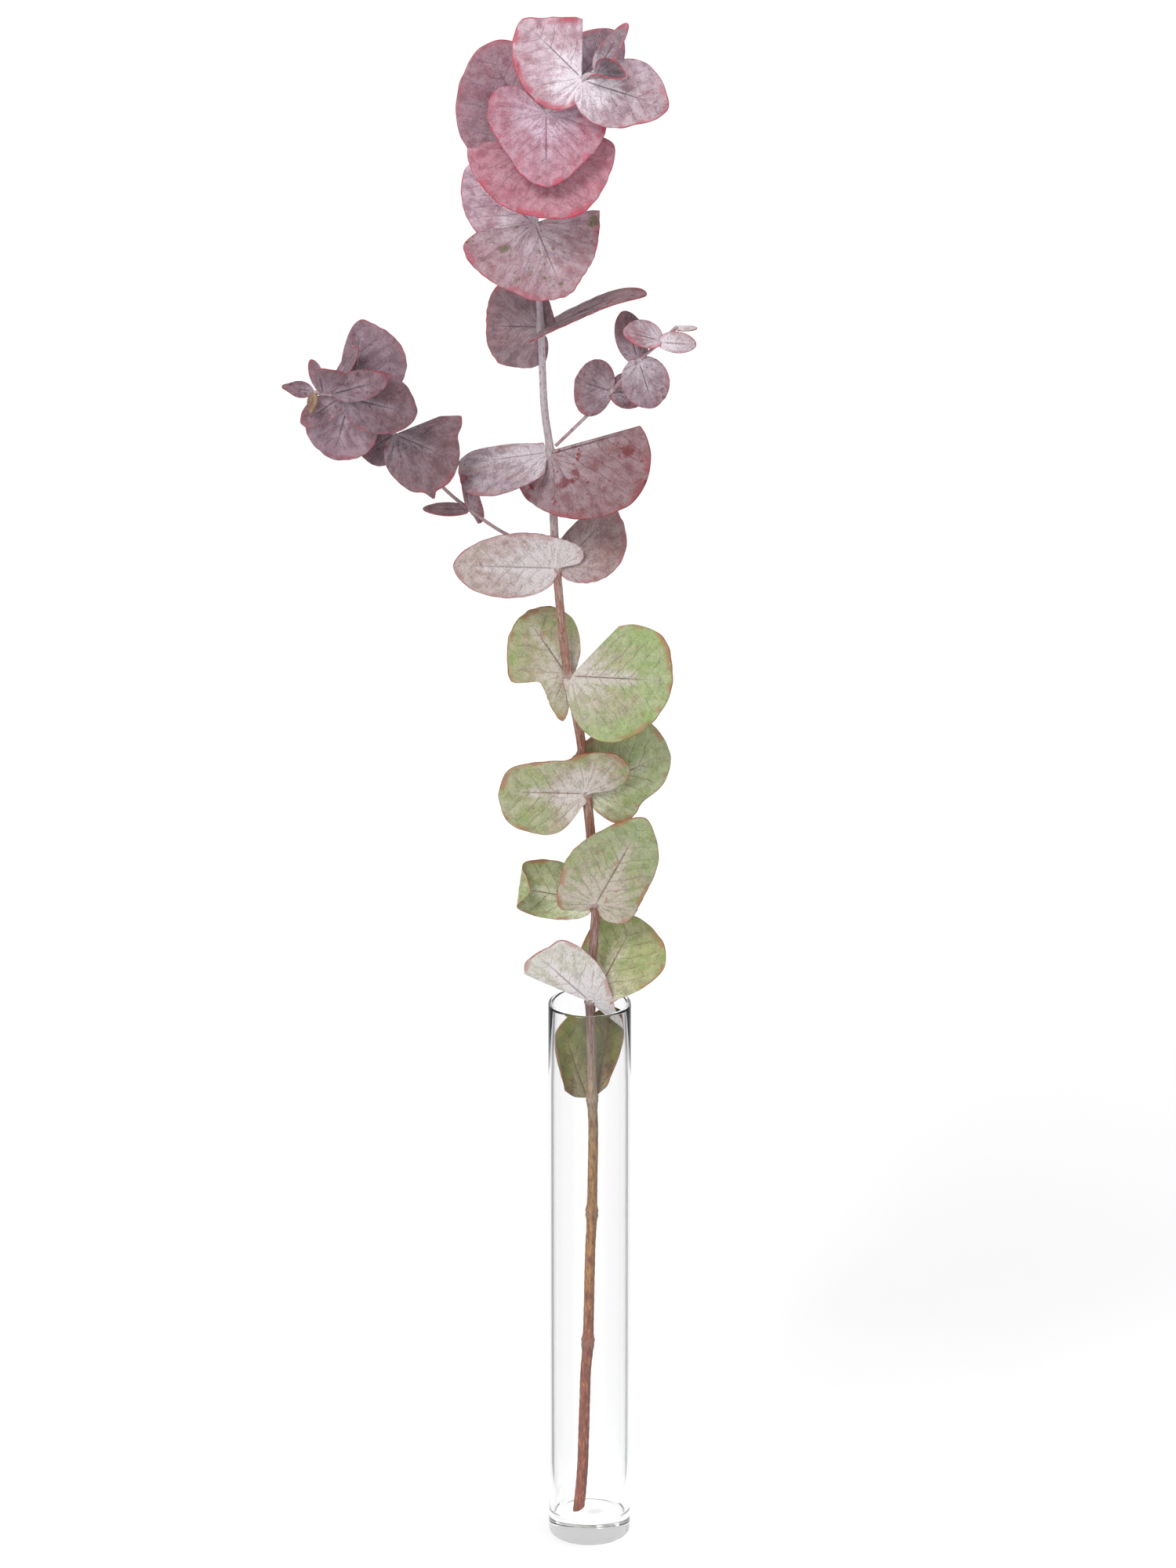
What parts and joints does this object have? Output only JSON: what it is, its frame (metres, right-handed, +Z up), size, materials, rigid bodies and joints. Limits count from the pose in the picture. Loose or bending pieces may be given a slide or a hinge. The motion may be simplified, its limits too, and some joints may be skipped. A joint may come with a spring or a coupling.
{
  "type": "eucalyptus branch in a vase",
  "caption": "Cut eucalyptus branch with round leaves and two side twigs, standing in a tall narrow clear-glass cylinder vase.",
  "frame": {"origin": "centre of the vase's flat foot, on the surface it stands on", "axes": "+Z up along the vase; -Y towards the branch's best side, where most leaves show their upper face; +X to the right seen from that side"},
  "size_m": [0.1461, 0.0506, 0.5865],
  "materials": {
    "glass": "clear, polished",
    "bark": "rough, red-brown with a pale bloom higher up",
    "twig": "matt, whitish bloom",
    "green": "matt, waxy",
    "plum": "matt, waxy bloom",
    "bud": "matt"
  },
  "bodies": {
    "root": {"glass_vase": "glass", "leaf_0_left": "green", "leaf_0_right": "green", "leaf_10_back": "plum", "leaf_10_front": "plum", "leaf_11_left": "plum", "leaf_11_right": "plum", "leaf_1_back": "green", "leaf_1_front": "green", "leaf_2_back": "green", "leaf_2_front": "green", "leaf_3_back": "green", "leaf_3_front": "green", "leaf_4_back": "green", "leaf_4_front": "green", "leaf_5_back": "plum", "leaf_5_front": "plum", "leaf_6_front": "plum", "leaf_6_left": "plum", "leaf_7_back": "plum", "leaf_7_right": "plum", "leaf_8_back": "plum", "leaf_8_front": "plum", "leaf_9_back": "plum", "leaf_9_front": "plum", "left_twig": "twig", "left_twig_bud": "bud", "left_twig_leaf_1_left": "plum", "left_twig_leaf_1_right": "plum", "left_twig_leaf_2_back": "plum", "left_twig_leaf_2_front": "plum", "left_twig_leaf_3_down": "plum", "left_twig_leaf_3_up": "plum", "left_twig_leaf_4_left": "plum", "left_twig_leaf_4_right": "plum", "left_twig_leaf_5_right": "plum", "left_twig_leaf_5_up": "plum", "left_twig_leaf_6_front": "plum", "left_twig_leaf_6_up": "plum", "left_twig_leaf_7_left": "plum", "main_stem": "bark", "right_twig": "twig", "right_twig_leaf_1_left": "plum", "right_twig_leaf_1_right": "plum", "right_twig_leaf_2_back": "plum", "right_twig_leaf_2_front": "plum", "right_twig_leaf_3_left": "plum", "right_twig_leaf_3_right": "plum", "right_twig_leaf_4": "bud", "tip_leaf_back": "plum", "tip_leaf_front": "plum"}
  },
  "joints": []
}
